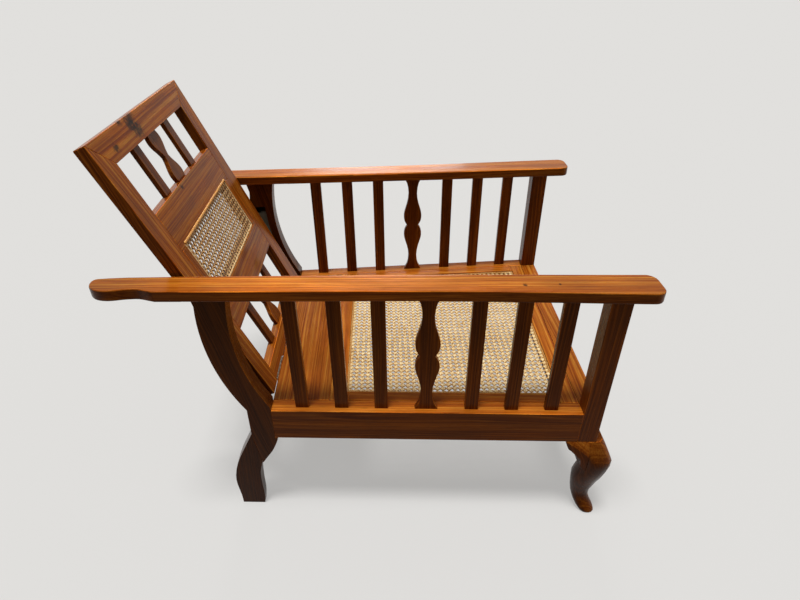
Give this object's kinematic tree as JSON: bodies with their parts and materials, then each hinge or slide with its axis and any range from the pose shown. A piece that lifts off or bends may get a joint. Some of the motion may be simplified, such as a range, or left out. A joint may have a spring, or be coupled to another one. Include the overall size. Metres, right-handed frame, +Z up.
{
  "type": "planters chair",
  "caption": "Low varnished hardwood lounge chair with a woven cane seat, slatted sides, long flat arms and a hinged cane back that rests on a rod set in notched posts.",
  "frame": {"origin": "On the floor, under the centre of the chair's bounding box.", "axes": "+Z up. The chair faces -Y. +X is the sitter's left. The back leans towards +Y."},
  "size_m": [0.7272, 1.074, 0.8899],
  "materials": {
    "varnished_hardwood": "reddish brown hardwood, oiled and varnished to a gloss",
    "woven_cane": "natural split cane woven in the six-way open pattern",
    "hinge_metal": "dulled steel butt hinges",
    "rod_steel": "plain dark steel rod"
  },
  "bodies": {
    "chair_frame": {"side_rail_left": "varnished_hardwood", "side_rail_right": "varnished_hardwood", "front_post_left": "varnished_hardwood", "front_post_right": "varnished_hardwood", "side_slat_left_1": "varnished_hardwood", "side_slat_right_1": "varnished_hardwood", "side_slat_left_2": "varnished_hardwood", "side_slat_right_2": "varnished_hardwood", "side_slat_left_3": "varnished_hardwood", "side_slat_right_3": "varnished_hardwood", "side_slat_left_4": "varnished_hardwood", "side_slat_right_4": "varnished_hardwood", "side_slat_left_5": "varnished_hardwood", "side_slat_right_5": "varnished_hardwood", "side_slat_left_6": "varnished_hardwood", "side_slat_right_6": "varnished_hardwood", "side_splat_left": "varnished_hardwood", "side_splat_right": "varnished_hardwood", "arm_left": "varnished_hardwood", "arm_right": "varnished_hardwood", "rear_post_left": "varnished_hardwood", "rear_post_right": "varnished_hardwood", "rear_foot_left": "varnished_hardwood", "rear_foot_right": "varnished_hardwood", "front_leg_left": "varnished_hardwood", "front_leg_right": "varnished_hardwood", "knee_bracket_side_left": "varnished_hardwood", "knee_bracket_side_right": "varnished_hardwood", "knee_bracket_front_left": "varnished_hardwood", "knee_bracket_front_right": "varnished_hardwood", "front_rail": "varnished_hardwood", "seat_rear_board": "varnished_hardwood", "rear_rail": "varnished_hardwood", "seat_cleat_left": "varnished_hardwood", "seat_cleat_right": "varnished_hardwood", "seat_frame_rear": "varnished_hardwood", "seat_frame_front": "varnished_hardwood", "seat_frame_side_left": "varnished_hardwood", "seat_frame_side_right": "varnished_hardwood", "seat_cane": "woven_cane", "hinge_seat_leaf_left": "hinge_metal", "hinge_seat_leaf_right": "hinge_metal"},
    "back": {"back_stile_left": "varnished_hardwood", "back_stile_right": "varnished_hardwood", "back_top_rail": "varnished_hardwood", "back_bottom_rail": "varnished_hardwood", "back_cane_lower_rail": "varnished_hardwood", "back_cane_upper_rail": "varnished_hardwood", "back_cane_strip_left": "varnished_hardwood", "back_cane_strip_right": "varnished_hardwood", "back_splat_upper": "varnished_hardwood", "back_splat_lower": "varnished_hardwood", "back_slat_upper_left": "varnished_hardwood", "back_slat_upper_right": "varnished_hardwood", "back_slat_lower_left": "varnished_hardwood", "back_slat_lower_right": "varnished_hardwood", "back_cane": "woven_cane", "hinge_back_leaf_left": "hinge_metal", "hinge_back_leaf_right": "hinge_metal"},
    "support_rod": {"support_rod": "rod_steel"}
  },
  "joints": [
    {"name": "back_hinge", "type": "hinge", "parent": "chair_frame", "child": "back", "pos_m": [0, 0.2389, 0.318], "axis": [1, 0, 0], "range_deg": [-6.11, 6.11]},
    {"name": "rod_notch", "type": "hinge", "parent": "chair_frame", "child": "support_rod", "pos_m": [0, -0.095, 0.5434], "axis": [1, 0, 0], "range_deg": [-12.04, 12.04]}
  ],
  "couplings": [
    {"joint": "rod_notch", "follows": "back_hinge", "ratio": 1.9697}
  ]
}
